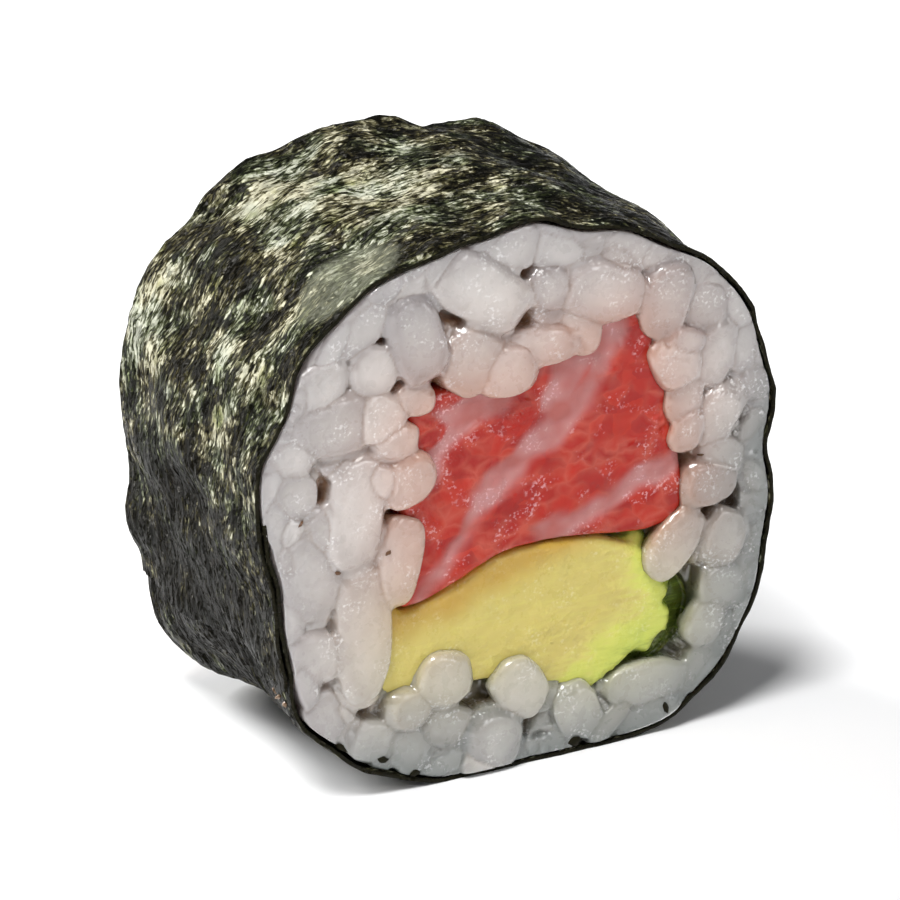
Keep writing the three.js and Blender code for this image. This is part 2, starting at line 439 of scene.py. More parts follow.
def distance_to_line(points, line):
    """How far each point is, seen from the front, from a line drawn through places (x, z). It is less
    than 0 on the left of the line."""
    flat = points[:, [0, 2]]
    best = np.full(len(flat), np.inf)
    for a, b in zip(line, line[1:]):
        a, b = np.array(a), np.array(b)
        share = np.clip((flat - a) @ (b - a) / ((b - a) @ (b - a)), 0, 1)
        off = flat - a - share[:, None] * (b - a)
        away = np.linalg.norm(off, axis=1)
        side = np.sign((flat - a) @ np.array((b[1] - a[1], a[0] - b[0])))
        best = np.where(away < np.abs(best), away * np.where(side < 0, -1, 1), best)
    return best


def press_faces(points, relief_mm):
    """Moves what lies on the two cut faces in or out along the roll."""
    from_middle = np.abs(points[:, 1])
    on_face = ease(FACE_PLACE - RELIEF_STARTS, FACE_PLACE - RELIEF_FULL, from_middle)
    moved = points.copy()
    moved[:, 1] += np.sign(points[:, 1]) * on_face * relief_mm
    return moved


print("a block is made of", FILLING_VOXEL, "mm squares")


# %% [markdown]
# Raw fish is built of muscle blocks that pale sheets of connective tissue hold apart. Cut across, the
# sheets show as slanting lavender bands in the red. Each band is a line on the cut face that keeps
# the same place right through the strip, with a width that wanders.

# %% Fish
SINEWS = (  # places (x, z) along the middle of a band, and half its width, all in mm
    (((5.7, 24.6), (4.9, 22.5), (3.9, 20.4), (2.0, 18.6), (0.0, 17.3), (-2.1, 15.7)), 0.85),
    (((-2.1, 15.7), (-3.9, 13.1), (-5.8, 10.7), (-6.6, 9.4)), 0.5),
    (((4.3, 25.0), (2.9, 22.0), (2.3, 20.4)), 1.1),
    (((0.4, 22.8), (-1.9, 21.3), (-4.3, 20.2), (-5.6, 17.6)), 1.0),
    (((9.9, 16.0), (8.6, 15.2), (5.8, 14.3), (3.9, 13.4), (1.6, 12.8)), 0.6),
    (((9.6, 17.5), (9.2, 20.5), (8.2, 22.6)), 0.3),
)
BAND_SOFTNESS = 0.8
BAND_WANDER, WIDTH_WANDER = 0.55, 0.35  # mm that a band wanders, and the share of its width
RED_SPOT, RED_SPOT_HALVES = (-5.4, 20.1), (0.8, 1.0)  # an island of red in a band

fish = filling_block(copy_of_node("fish_strip"))
fish_tree = BVHTree.FromBMesh(fish)
spots = points_of(fish)
drift = np.column_stack((wavy(spots, 1.6, 3), np.zeros(len(spots)), wavy(spots, 1.6, 9)))
wander = spots + BAND_WANDER * drift
sinew = np.zeros(len(spots))
for line, half_width in SINEWS:
    width = half_width * (1 + WIDTH_WANDER * wavy(spots, 2.3, 17))
    beyond = np.abs(distance_to_line(wander, line)) - width
    sinew = np.maximum(sinew, 1 - ease(-BAND_SOFTNESS / 2, BAND_SOFTNESS / 2, beyond))
off_spot = (wander[:, [0, 2]] - RED_SPOT) / RED_SPOT_HALVES
sinew *= ease(0.75, 1.15, np.hypot(off_spot[:, 0], off_spot[:, 1]))
fish_relief = 0.1 + 0.1 * wavy(spots, 2.4, 21) + 0.06 * wavy(spots, 0.9, 23) - 0.1 * sinew
move_points(fish, press_faces(spots, fish_relief))
keep_as(fish, "sinew", sinew)
print("fish block has", len(fish.faces), "faces,", round(100 * float(sinew.mean())), "% of it sinew")

# %% [markdown]
# Avocado flesh runs from butter yellow at the stone to green under the skin. Along its top edge, under the
# fish, it is painted ochre, a painted shade. The green end here is the one that tore. Behind the cut face the
# flesh is drawn dark green, the green of the skin side darkened as painted shade, so that the little one sees
# of it between the grains reads as the skin side in shade.

# %% Avocado
# Both lines are places (x, z) on the cut face: where the flesh tore off, and where the painted shade under
# the fish lies.
GREEN_END = ((4.6, 3.2), (5.2, 3.6), (7.2, 4.7), (9.2, 5.5), (9.2, 8.2), (8.4, 10.4))
OCHRE_SHADE_LINE = ((-8.0, 9.8), (-4.6, 10.4), (-2.6, 11.4), (-0.6, 12.0), (3.0, 12.2))
TEAR_DEPTH = 0.9
TEAR_RAGS = 0.45  # how far the torn line wanders, in mm
SHOULDER_HALVES = (2.4, 7.7, 2.2)  # mm, of a lobe of darker flesh
SHOULDER_PLACE = (7.3, 0, 10.9)


def with_shoulder(bm):
    """Adds the darker flesh that shows a little way in, under the corner of the fish."""
    lobe = bmesh.ops.create_icosphere(bm, subdivisions=4, radius=1)["verts"]
    bmesh.ops.scale(bm, vec=SHOULDER_HALVES, verts=lobe)
    bmesh.ops.translate(bm, vec=SHOULDER_PLACE, verts=lobe)
    return bm


avocado = filling_block(with_shoulder(copy_of_node("avocado_strip")))
avocado_tree = BVHTree.FromBMesh(avocado)
spots = points_of(avocado)
rags = wavy(spots, 1.1, 41) + 0.6 * wavy(spots, 0.5, 43)
inside_tear = TEAR_RAGS * rags - distance_to_line(spots, GREEN_END)
torn = 1 - ease(-0.3, 0.3, inside_tear)
green_side = 1 - ease(-0.2, 3.6, inside_tear + 0.9 * wavy(spots, 2.6, 5))
green = np.clip(green_side + 0.5 * torn, 0, 1.5) / 1.5
# Painted shade: the flesh behind the cut face is drawn dark green, the skin side's green darkened where it
# lies in shade.
behind_face = 1 - ease(FACE_PLACE - 0.9, FACE_PLACE - 0.4, np.abs(spots[:, 1]))
green = np.maximum(green, 0.92 * behind_face)
from_ochre_shade = np.abs(distance_to_line(spots, OCHRE_SHADE_LINE)) + 0.7 * wavy(spots, 2.2, 8)
ochre_shade = 1 - ease(0.1, 2.3, from_ochre_shade)
avocado_relief = 0.09 * wavy(spots, 3.1, 31) + 0.04 * wavy(spots, 0.9, 37) - 0.06 - TEAR_DEPTH * torn
move_points(avocado, press_faces(spots, avocado_relief))
keep_as(avocado, "green", green)
keep_as(avocado, "ochre_shade", ochre_shade)
print("avocado block has", len(avocado.faces), "faces")

# %% [markdown]
# ## The rice
# Sushi rice is short and plump, a grain is about 5 mm by 3 mm once cooked, and it sticks to its
# neighbours. The grains that show on the cut were placed one by one: a ray from the camera through the
# grain's place in the photograph meets the cut face there. Each grain starts as a round ball of
# triangles. It is sliced flat on two sides, as the knife left it, then stretched, made blunt at the ends
# and knocked a little out of true.

# %% One grain
GRAIN_FINENESS = 3  # how often the ball's triangles are split
BLUNTNESS = 0.72  # under 1 squares the ball's ends off
GRAIN_UNEVENNESS = 0.16
SLICED = 0.72  # how much of its thickness is left when the knife has sliced a grain flat
STICKING = 1.06  # a fused grain reaches this much past its own outline into its neighbours


def add_grain(bm, middle, halves, turn, grains, draw):
    """Adds a grain with half sizes (along its length, its thickness, its width), turned and set in place.
    The list of grains gets its middle, the matrix that makes it a ball of radius 1, and two tones."""
    shift = Vector((draw.uniform(-50, 50), draw.uniform(-50, 50), 0))
    ball = bmesh.ops.create_icosphere(bm, subdivisions=GRAIN_FINENESS, radius=STICKING)["verts"]
    for vert in ball:
        swell = 1 + GRAIN_UNEVENNESS * noise.noise(vert.co * 1.1 + shift)
        vert.co.y = max(-1, min(1, vert.co.y / SLICED))
        vert.co = [half * swell * math.copysign(abs(c) ** BLUNTNESS, c) for half, c in zip(halves, vert.co)]
    placed = Matrix.Translation(middle) @ turn
    bmesh.ops.transform(bm, matrix=placed, verts=ball)
    to_ball = (placed @ Matrix.Diagonal((*halves, 1))).inverted()
    grains.append((middle, to_ball, draw.random(), draw.random()))


def on_plane(pixel_x, pixel_y, y):
    """Where the sight line through a pixel of the photograph meets an upright plane across the roll."""
    shift = right * (pixel_x - PHOTO_SIZE / 2) + up * (PHOTO_SIZE / 2 - pixel_y)
    ray = AIM + shift / PIXELS_A_MM - eye
    return eye + ray * ((y - eye.y) / ray.y)


print("the middle of the photograph is at", [round(c, 2) for c in on_plane(450, 450, -HALF_LENGTH)], "mm")

# %% [markdown]
# The first list is the grains that show best. A grain whose outline is nearly round is seen end on, so
# it runs back into the roll, and the others lie in the cut.

# %% Grains of the shown face
SEEN_GRAINS = (  # pixel x and y of the middle, length and width in mm, lean in degrees, mm it stands out
    (358, 325, 3.6, 2.3, 45, -0.2), (408, 280, 3.9, 2.3, 40, -0.2), (482, 292, 5.7, 3.2, -28, 0.5),
    (507, 246, 3.2, 2.5, 20, -0.1), (420, 342, 4.6, 2.8, -75, 0.8), (470, 357, 3.6, 3.3, 60, 0.3),
    (372, 368, 2.7, 2.5, 0, 0.3), (317, 382, 3.0, 2.6, 30, 0.1), (333, 427, 4.2, 3.1, 15, 0.3),
    (378, 418, 3.0, 2.7, 0, 0.4), (415, 397, 2.2, 1.8, 0, 0.2), (508, 370, 3.1, 2.9, 0, 0.5),
    (540, 347, 4.1, 2.0, 10, 0.3), (572, 325, 3.1, 2.5, 0, -0.1), (605, 292, 4.5, 3.0, -10, 0.5),
    (545, 285, 2.6, 2.3, 0, 0.2), (560, 243, 3.6, 2.3, 0, -0.2), (615, 250, 2.7, 2.6, 0, -0.2),
    (668, 300, 3.9, 2.8, 80, 0.6), (705, 300, 2.6, 2.6, 0, 0.2), (690, 262, 3.3, 2.3, -35, -0.1),
    (652, 252, 2.3, 1.6, 0, -0.1), (675, 360, 3.1, 2.6, -60, 0.6), (688, 345, 2.0, 1.6, 0, 0.7),
    (716, 352, 3.7, 2.2, 75, 0.2), (728, 290, 2.6, 1.9, 0, -0.1), (750, 340, 3.1, 1.9, -60, -0.2),
    (750, 378, 2.2, 2.1, 0, -0.1), (689, 432, 2.2, 1.7, 70, 0.5), (718, 415, 3.2, 2.3, 60, 0.2),
    (755, 450, 4.5, 2.3, 80, -0.1), (703, 482, 2.9, 2.5, 0, 0.5), (757, 497, 2.3, 1.6, 0, -0.1),
    (757, 535, 2.9, 1.6, 80, -0.1), (725, 537, 2.9, 2.3, 75, 0.4), (676, 545, 3.8, 2.4, 55, 0.5),
    (725, 583, 3.2, 2.5, 0, 0.2), (700, 622, 2.5, 2.2, 60, 0.3), (730, 628, 2.6, 1.9, 60, -0.1),
    (705, 672, 3.1, 2.1, 50, -0.1), (648, 682, 4.5, 2.3, 12, 0.2), (645, 713, 4.6, 2.4, 15, 0),
    (577, 712, 3.0, 2.4, -70, 0.4), (523, 690, 3.3, 2.6, -35, 0.7), (493, 740, 3.3, 3.1, 0, 1.0),
    (485, 765, 2.0, 1.6, 0, 0.9), (543, 738, 2.6, 2.3, 0, -0.2), (444, 679, 3.2, 2.8, 0, 0.6),
    (402, 708, 2.4, 2.2, 0, 0.4), (447, 725, 3.0, 2.1, 0, 0), (445, 763, 3.2, 1.9, 5, -0.1),
    (406, 748, 2.8, 2.1, -60, 0), (364, 738, 2.6, 2.3, 0, 0.1), (322, 718, 3.1, 2.2, -75, -0.1),
    (308, 655, 3.2, 2.7, 0, 0.3), (366, 636, 7.2, 2.9, 90, 0.6),
    (400, 563, 4.5, 2.4, 80, 0.4), (303, 575, 5.2, 3.1, -65, 0.1), (283, 492, 2.8, 2.4, 0, -0.1),
    (288, 458, 2.9, 1.9, 0, 0), (280, 530, 2.3, 1.9, 0, -0.1), (357, 514, 5.8, 3.1, 84, 0.5),
    (408, 477, 3.0, 2.7, 30, 0.5), (385, 480, 2.2, 2.0, 0, 0.4), (325, 532, 2.8, 2.1, -50, 0),
    (398, 442, 2.4, 1.9, 0, 0.4), (684, 397, 2.7, 2.0, 80, 0.2), (714, 452, 2.6, 2.3, 0, 0.1),
    (742, 618, 3.2, 2.1, 65, 0), (744, 572, 2.8, 2.0, 80, 0),
)  # fmt: skip
ROUND_OUTLINE = 1.25  # length over width, under which a grain is seen end on
END_ON_DEPTH = 4.2
FLATNESS = 0.95  # a lying grain's thickness for each mm of its width
ROCKING = 0.2  # radians that a grain is tipped out of the cut, at most
SEEN_SWELL = 1.08  # how much larger a grain is than the part of it that shows
OUTLINE_AT = 0.2  # how far behind its front a grain's outline lies, as a share of its thickness


def lean_on_cut(pixel_x, pixel_y, degrees):
    """The lean on the cut face of what leans so much in the photograph."""
    reach = 10  # pixels
    tilt = math.radians(degrees)
    start = on_plane(pixel_x, pixel_y, -HALF_LENGTH)
    end = on_plane(pixel_x + reach * math.cos(tilt), pixel_y - reach * math.sin(tilt), -HALF_LENGTH)
    return math.atan2(end.z - start.z, end.x - start.x)


def add_seen_grains(bm, grains, draw):
    """Adds the grains of the list, each behind its place in the photograph."""
    for x, y, length, width, lean, out in SEEN_GRAINS:
        thickness = END_ON_DEPTH if length / width < ROUND_OUTLINE else FLATNESS * width
        outline = on_plane(x, y, -HALF_LENGTH - out + OUTLINE_AT * thickness)
        middle = outline + Vector((0, (0.5 - OUTLINE_AT) * thickness, 0))
        length, width = length * SEEN_SWELL, width * SEEN_SWELL
        rocking = Matrix.Rotation(draw.uniform(-ROCKING, ROCKING), 4, "Z")
        turn = Matrix.Rotation(-lean_on_cut(x, y, lean), 4, "Y") @ rocking
        add_grain(bm, middle, (length / 2, thickness / 2, width / 2), turn, grains, draw)


print("the shown face has", len(SEEN_GRAINS), "placed grains")

# %% [markdown]
# Behind those, and all over the back, the grains follow a rule: courses that run round inside the nori,
# as the rice was spread, with every grain a little out of place and turned its own way.

# %% Grains in courses
GRAIN_LONG, GRAIN_WIDE = 4.7, 2.9
GRAIN_PITCH = 2.5
COURSE_DEPTHS = (1.2, 3.4, 5.8, 8.2, 10.6)  # mm under the outside of the roll
RIM_PITCH, RIM_DEPTH, RIM_HALVES = 1.9, 0.85, (1.7, 1.0, 0.8)  # the broken ends that fill up along the nori
FRONT_MARGIN, BACK_MARGIN = 0.3, 0.0  # mm that a grain's middle keeps from the fillings


def room_at(place, trees):
    """Distance to the nearest filling, less than 0 inside it."""
    gaps = []
    for tree in trees:
        nearest, normal, _, gap = tree.find_nearest(place)
        gaps.append(math.copysign(gap, (place - nearest).dot(normal)))
    return min(gaps)


GAPS = (  # pixels of the photograph where one looks in between the grains
    (383, 345), (450, 315), (500, 326), (347, 375), (405, 415),
    (640, 548), (685, 592), (485, 698), (735, 500),
)  # fmt: skip
GAP_REACH = 1.5
gap_places = [on_plane(x, y, -HALF_LENGTH) for x, y in GAPS]


def add_rim(bm, side, grains, draw):
    """Small broken ends of grains along the inside of the nori, nearly flush with the cut."""
    count = round(FULL_TURN * MEAN_RADIUS / RIM_PITCH)
    for i in range(count):
        turned = (i + draw.uniform(-0.3, 0.3)) * FULL_TURN / count
        x, z = rolled(turned, 0, RIM_DEPTH + draw.uniform(-0.1, 0.2))
        clock = hour(FLAP_END_HOUR) + turned
        sunk = draw.uniform(-0.15, 0.55)
        middle = Vector((float(x), side * (HALF_LENGTH - RIM_HALVES[1] - sunk), float(z)))
        halves = [half * draw.uniform(0.75, 1.25) for half in RIM_HALVES]
        turn = Matrix.Rotation(clock + draw.uniform(-0.5, 0.5), 4, "Y")
        turn = turn @ Matrix.Rotation(draw.uniform(-0.4, 0.4), 4, "X")
        add_grain(bm, middle, halves, turn, grains, draw)


def add_courses(bm, side, proud, proud_spread, margin, grains, draw):
    """Courses of grains on one side, whose ends stand out of the cut by proud, and up to a spread more."""
    for depth in COURSE_DEPTHS:
        count = round(FULL_TURN * (MEAN_RADIUS - depth) / GRAIN_PITCH)
        for i in range(count):
            turned = (i + draw.uniform(-0.35, 0.35)) * FULL_TURN / count
            x, z = rolled(turned, 0, depth + draw.uniform(-0.35, 0.35))
            size = draw.uniform(0.88, 1.1)
            out = proud + draw.uniform(0, proud_spread)
            slant = draw.choice((draw.uniform(0, 0.5), draw.uniform(1.1, math.pi / 2)))
            turn = Matrix.Rotation(draw.uniform(0, FULL_TURN), 4, "Y")
            turn = turn @ Matrix.Rotation(math.pi / 2 - slant, 4, "Z")
            half_long, half_wide = size * GRAIN_LONG / 2, size * GRAIN_WIDE / 2
            reach = math.hypot(half_long * math.cos(slant), half_wide * math.sin(slant))
            middle = Vector((float(x), side * (HALF_LENGTH + out - reach), float(z)))
            if side < 0 and any((place.xz - middle.xz).length < GAP_REACH for place in gap_places):
                continue
            if room_at(Vector((middle.x, 0, middle.z)), (fish_tree, avocado_tree)) > margin:
                halves = (half_long, half_wide * draw.uniform(0.88, 1), half_wide)
                add_grain(bm, middle, halves, turn, grains, draw)


print("grains lie in", len(COURSE_DEPTHS), "courses, and a rim of broken ends fills up along the nori")

# %% [markdown]
# The core of the bed is what the CAD solid is away from the cuts, so a slice of it backs the grains. A
# bisecting plane cuts the slice, and the open ring it leaves is filled.

# %% Slices of the bed
SLICE_NEAR, SLICE_FAR = 4.8, 6.9  # the two ends of a slice, in mm from the middle of the roll


def cut_across(bm, y, way):
    """Cuts a body across the roll, drops what lies on the way side (-1 or 1) and closes the cut."""
    everything = bm.verts[:] + bm.edges[:] + bm.faces[:]
    bmesh.ops.bisect_plane(bm, geom=everything, plane_co=(0, y, 0), plane_no=(0, way, 0), clear_outer=True)
    rim = [e for e in bm.edges if e.is_boundary]
    bmesh.ops.triangle_fill(bm, edges=rim, normal=(0, way, 0), use_beauty=True)
    return bm


def slice_of_rice(start, end):
    """The CAD bed of rice between two planes across the roll."""
    bm = cut_across(cut_across(copy_of_node("rice_bed"), start, -1), end, 1)
    bmesh.ops.recalc_face_normals(bm, faces=bm.faces)
    return bm


print("a slice is", round(SLICE_FAR - SLICE_NEAR, 1), "mm thick")

# %% [markdown]
# The fused rice is pressed as the mat and the knife pressed it: no point may lie outside the nori or
# inside a filling, and what stands out of the cut is flattened, the more the further it stood out.

# %% Pressing the rice
CONTACT = 0.02  # mm that two pieces stay apart
STEEPEST = 0.5  # a surface that faces more than this along the roll belongs to a filling's cut face
# Each pair says where what stood out so far of the cut, in mm, stands once it is cut.
KNIFE_PRESS = ((-2.7, -2.7), (-1.6, -1.4), (-0.95, -0.7), (-0.55, -0.18), (0.0, 0.0), (0.6, 0.24), (1.3, 0.5))


def nori_depth(clock):
    """How deep the inner wall of the nori lies at a place round the roll."""
    overlap = hour(SHEET_START_HOUR - FLAP_END_HOUR)
    covered = ease(overlap - hour(0.2), overlap, (clock - hour(FLAP_END_HOUR)) % FULL_TURN)
    return NORI_THICKNESS * (2 - covered)


def press_into_nori(points):
    """Keeps every point inside the wall of the nori. Gives how far from it each one is too."""
    clock = np.arctan2(points[:, 0], points[:, 2] - CENTRE_HEIGHT)
    turned = (clock - hour(FLAP_END_HOUR)) % FULL_TURN
    wall_x, wall_z = rolled(turned, points[:, 1], nori_depth(clock) + CONTACT)
    wall = np.hypot(wall_x, wall_z - CENTRE_HEIGHT)
    reach = np.hypot(points[:, 0], points[:, 2] - CENTRE_HEIGHT)
    squeeze = np.minimum(1, wall / np.maximum(reach, 1e-6))
    pressed = points.copy()
    pressed[:, 0] *= squeeze
    height = CENTRE_HEIGHT + (points[:, 2] - CENTRE_HEIGHT) * squeeze
    pressed[:, 2] = np.maximum(height, NORI_THICKNESS + CONTACT)
    return pressed, np.maximum(wall - reach, 0)


def cut_by_knife(points):
    """Flattens the face as the knife did."""
    before, after = zip(*KNIFE_PRESS)
    out = np.abs(points[:, 1]) - HALF_LENGTH
    flatter = np.where(out < before[0], out, np.interp(out, before, after))
    cut = points.copy()
    cut[:, 1] = np.sign(points[:, 1]) * (HALF_LENGTH + flatter)
    return cut


def press_out_of(points, tree):
    """Moves what lies inside a filling to its side. Gives the distances to it too. What is nearest to a
    cut face stays, so that a grain which overhangs the filling sits on it without a gap."""
    distances = np.empty(len(points))
    for i, point in enumerate(points):
        place = Vector(point)
        nearest, normal, _, gap = tree.find_nearest(place)
        if (place - nearest).dot(normal) < CONTACT and abs(normal.y) < STEEPEST:
            points[i] = nearest + normal * CONTACT
            gap = 0
        distances[i] = gap
    return distances


print("what stood", KNIFE_PRESS[-1][0], "mm out of the cut now stands", KNIFE_PRESS[-1][1], "mm out")

# %% [markdown]
# The remesh leaves one skin, and loses which grain is which. So each of its points looks for its own
# grain again: the one whose ball it lies deepest in. Where two grains are almost as near, there is a seam.

# %% Grains of the fused skin
NEIGHBOURS = 7  # how many grains near a point are tried


def main_body(bm):
    """Drops every loose scrap and every sealed bubble, which are the bodies with few points."""
    left, largest = set(bm.verts), set()
    while left:
        body, front = set(), {left.pop()}
        while front:
            body |= front
            front = {edge.other_vert(vert) for vert in front for edge in vert.link_edges} - body
        left -= body
        largest = max(largest, body, key=len)
    bmesh.ops.delete(bm, geom=[vert for vert in bm.verts if vert not in largest], context="VERTS")
    return bm


def sort_into_grains(points, grains):
    """Which grain each point belongs to, how much nearer that grain is than the next, and how far the
    point is from the grain's middle as seen on the cut, all in that grain's radii."""
    finder = KDTree(len(grains))
    for i, (middle, *_) in enumerate(grains):
        finder.insert(middle, i)
    finder.balance()
    near = np.array([[i for _, i, _ in finder.find_n(point, NEIGHBOURS)] for point in points])
    to_ball = np.array([matrix for _, matrix, *_ in grains])[near]
    in_ball = np.einsum("pnij,pj->pni", to_ball[..., :3, :3], points) + to_ball[..., :3, 3]
    radii = np.linalg.norm(in_ball, axis=2)
    ranked = np.sort(radii, axis=1)
    each, nearest = np.arange(len(points)), radii.argmin(axis=1)
    on_cut = np.hypot(in_ball[each, nearest, 0], in_ball[each, nearest, 2])
    return near[each, nearest], ranked[:, 1] - ranked[:, 0], on_cut


print("each point tries", NEIGHBOURS, "grains")

# %% [markdown]
# Now the remesh fuses slice and grains, the seams sink in, and the rice is pressed. Each point keeps what its
# finish needs: how near it is to the fish, the avocado and the nori, which sets the painted light and painted
# shade they lay on it, how deep it lies, which sets the painted shade between the grains, and how milky and
# how warm its own grain is.

# %% Rice of the two cut faces
RICE_VOXEL = 0.15
RICE_ROUNDS = 2  # how often the fused skin is rubbed soft
BED_BACK = 5.6  # where the fused grains are cut off, inside the slice
SEAM_MARGIN, SEAM_DEPTH = 0.1, 0.16  # how wide and deep, in radii and mm, the seam between two grains is
# The blush and the green are painted light: the colours that the fish and the avocado cast into the
# translucent rice.
BLUSH_REACH, GREEN_REACH = 2.2, 1.4  # mm that the red of the fish and the green of the avocado spread
# The rim is painted shade: the rice is drawn darker near the nori wall, further in on the underside.
RIM_REACH = 2.0  # how deep the dark of the nori shows through the rice
RIM_WIDENS = 1.4  # how much deeper it shows on the underside


def bed_of_grains(bm, side, grains):
    """Fuses and presses the grains of one cut face, and notes what stains them."""
    skin = smoothed(fused(bm, RICE_VOXEL), RICE_ROUNDS)
    bed = main_body(cut_across(skin, side * BED_BACK, -side))
    points = points_of(bed)
    own, margin, on_cut = sort_into_grains(points, grains)
    seam = 1 - ease(0, SEAM_MARGIN, margin)
    at_face = ease(SLICE_FAR, SLICE_FAR + 0.8, np.abs(points[:, 1]))
    points[:, 1] -= side * SEAM_DEPTH * seam * at_face
    points = cut_by_knife(points)
    to_fish = press_out_of(points, fish_tree)
    to_avocado = press_out_of(points, avocado_tree)
    points, to_nori = press_into_nori(points)
    move_points(bed, points)
    proud = np.abs(points[:, 1]) - HALF_LENGTH
    underside = ease(2, 9, CENTRE_HEIGHT + 0.6 * points[:, 0] - points[:, 2])
    rim_reach = RIM_REACH * (1 + RIM_WIDENS * underside)
    kept = {
        "rim": (1 - 0.8 * ease(0, 0.5, proud)) * np.exp(-to_nori / rim_reach),
        "underside": underside,
        "blush": np.exp(-to_fish / BLUSH_REACH),
        "green": np.exp(-to_avocado / GREEN_REACH),
        "deep": ease(0.3, 0.8, -proud),
        "seam": seam,
        "core": 1 - ease(0.3, 1.0, on_cut),
        "far_side": ease(-2, 14, points[:, 0]),
        "milkiness": [grains[i][2] for i in own],
        "warmth": [grains[i][3] for i in own],
    }
    for name, values in kept.items():
        keep_as(bed, name, values)
    return bed


draw = random.Random(11)
front_heap, front_grains = slice_of_rice(-SLICE_FAR, -SLICE_NEAR), []
add_seen_grains(front_heap, front_grains, draw)
add_courses(front_heap, -1, -0.9, 0.4, FRONT_MARGIN, front_grains, draw)
add_rim(front_heap, -1, front_grains, draw)
front_rice = bed_of_grains(front_heap, -1, front_grains)

back_heap, back_grains = slice_of_rice(SLICE_NEAR, SLICE_FAR), []
add_courses(back_heap, 1, -0.2, 0.8, BACK_MARGIN, back_grains, draw)
add_rim(back_heap, 1, back_grains, draw)
back_rice = bed_of_grains(back_heap, 1, back_grains)
print("shown rice has", len(front_rice.faces), "faces, the back", len(back_rice.faces))

# %% [markdown]
# ## Tools for the finishes
# Some steps come back in every finish here. Patterns are read in millimetres, and patches of them are noise
# brought to a range. A stain is a colour laid over another, as strong as an attribute of the mesh or a
# pattern says, and the same step lays painted light and painted shade over a colour. Random cells are parted
# by thin lines, as shreds and muscle blocks are.


# %% Patterns and stains
MIX_SHARE, MIX_UNDER, MIX_OVER, MIX_RESULT = 0, 6, 7, 2  # sockets of a Mix node that mixes colours


def object_mm(tree):
    """Object coordinates in millimetres."""
    place = add_node(tree, "TexCoord", result="Object")
    return add_node(tree, "Mapping", {"Vector": place, "Scale": (1 / MM,) * 3})


def patches(tree, place, waves, low, high, to_low=0.0, to_high=1.0, detail=2.0):
    """Soft patches: noise with so many waves a millimetre, brought from one range to another."""
    value = add_node(tree, "TexNoise", {"Vector": place, "Scale": waves, "Detail": detail}, "Fac")
    return add_node(tree, "MapRange", (value, low, high, to_low, to_high))


def parted(tree, place, width):
    """1 on the lines that part random cells of about one unit, and 0 so far from them."""
    cells = {"Vector": place, "Scale": 1.0}
    edge = add_node(tree, "TexVoronoi", cells, "Distance", feature="DISTANCE_TO_EDGE")
    return add_node(tree, "MapRange", (edge, 0.0, width, 1.0, 0.0))


def weighed(*shares):
    """The sum of numbers from one tree, each times its share."""
    total = 0.0
    for value, share in shares:
        part = add_node(value.id_data, "Math", (value, share), operation="MULTIPLY")
        total = add_node(value.id_data, "Math", (total, part), operation="ADD")
    return total


def stain_or_painted_light(tree, colour, amount, share, stain):
    """A colour under a stain, or under painted light or shade. The amount, an attribute's name or a number of
    the tree, counts by a share.
    """
    if isinstance(amount, str):
        amount = add_node(tree, "Attribute", result="Fac", attribute_name=amount)
    amount = add_node(tree, "Math", (amount, share), operation="MULTIPLY")
    inputs = {MIX_SHARE: amount, MIX_UNDER: colour, MIX_OVER: stain}
    return add_node(tree, "Mix", inputs, MIX_RESULT, data_type="RGBA")


def shaded(tree, inputs):
    """Ends a material in a principled shader with these inputs."""
    shader = add_node(tree, "BsdfPrincipled", inputs)
    add_node(tree, "OutputMaterial", {"Surface": shader})


print("a pattern's unit is", MM, "m")

# %% [markdown]
# ## Finish of the nori
# Roasted nori is a near black green with a satin skin. It is pressed from shreds of seaweed, and each shred
# lies tilted its own way and catches the light as a short pale streak round the roll: the tilt is a bump, and
# the pale streak is also painted into the colour, a painted glint. The pattern lies on the sheet's own UV
# map, stretched to real millimetres, so that it bends with the sheet. Most real shreds are finer than a
# pixel, so the ones here are as coarse as they need to show.

# %% Shreds of the nori
HALF_WAY = (0.5, 0.5, 0.5)  # noise and random colours lie about this
SWAY = (0.8, 1.2, 0)  # mm that the shreds wander along and across the sheet
STREAKS_A_MM = (1.3, 6.0, 1)
CRACKED_LONG, CRACKED_WIDE = 1.1, 0.26  # mm, of the shreds that thin cracks part


def shreds(tree, sheet_place, long, wide, slant):
    """The pressed shreds: flat patches so long and wide in mm, each tilted its own way. Gives their height
    in mm and a random number a patch."""
    size = {"Vector": sheet_place, "Rotation": (0, 0, math.radians(slant)), "Scale": (long, wide, 1)}
    place = add_node(tree, "Mapping", size, vector_type="TEXTURE")
    tone = add_node(tree, "TexVoronoi", {"Vector": place, "Scale": 1.0}, "Color")
    middle = tone.node.outputs["Position"]
    off = add_node(tree, "VectorMath", (place, middle), operation="SUBTRACT")
    off_mm = add_node(tree, "VectorMath", (off, (long, wide, 0)), operation="MULTIPLY")
    tilt = add_node(tree, "VectorMath", (tone, HALF_WAY), operation="SUBTRACT")
    height = add_node(tree, "VectorMath", (off_mm, tilt), "Value", operation="DOT_PRODUCT")
    return height, add_node(tree, "SeparateColor", {"Color": tone}, "Blue")


nori_finish, tree = new_material("roasted_nori")
sheet = add_node(tree, "UVMap", uv_map="sheet")
sheet_mm = add_node(tree, "Mapping", {"Vector": sheet, "Scale": (SHEET_LENGTH, ROLL_LENGTH, 1)})
sway = add_node(tree, "TexNoise", {"Vector": sheet_mm, "Scale": 0.35, "Detail": 2.0}, "Color")
sway = add_node(tree, "VectorMath", (sway, HALF_WAY), operation="SUBTRACT")
sway = add_node(tree, "VectorMath", (sway, SWAY), operation="MULTIPLY")
swayed = add_node(tree, "VectorMath", (sheet_mm, sway), operation="ADD")

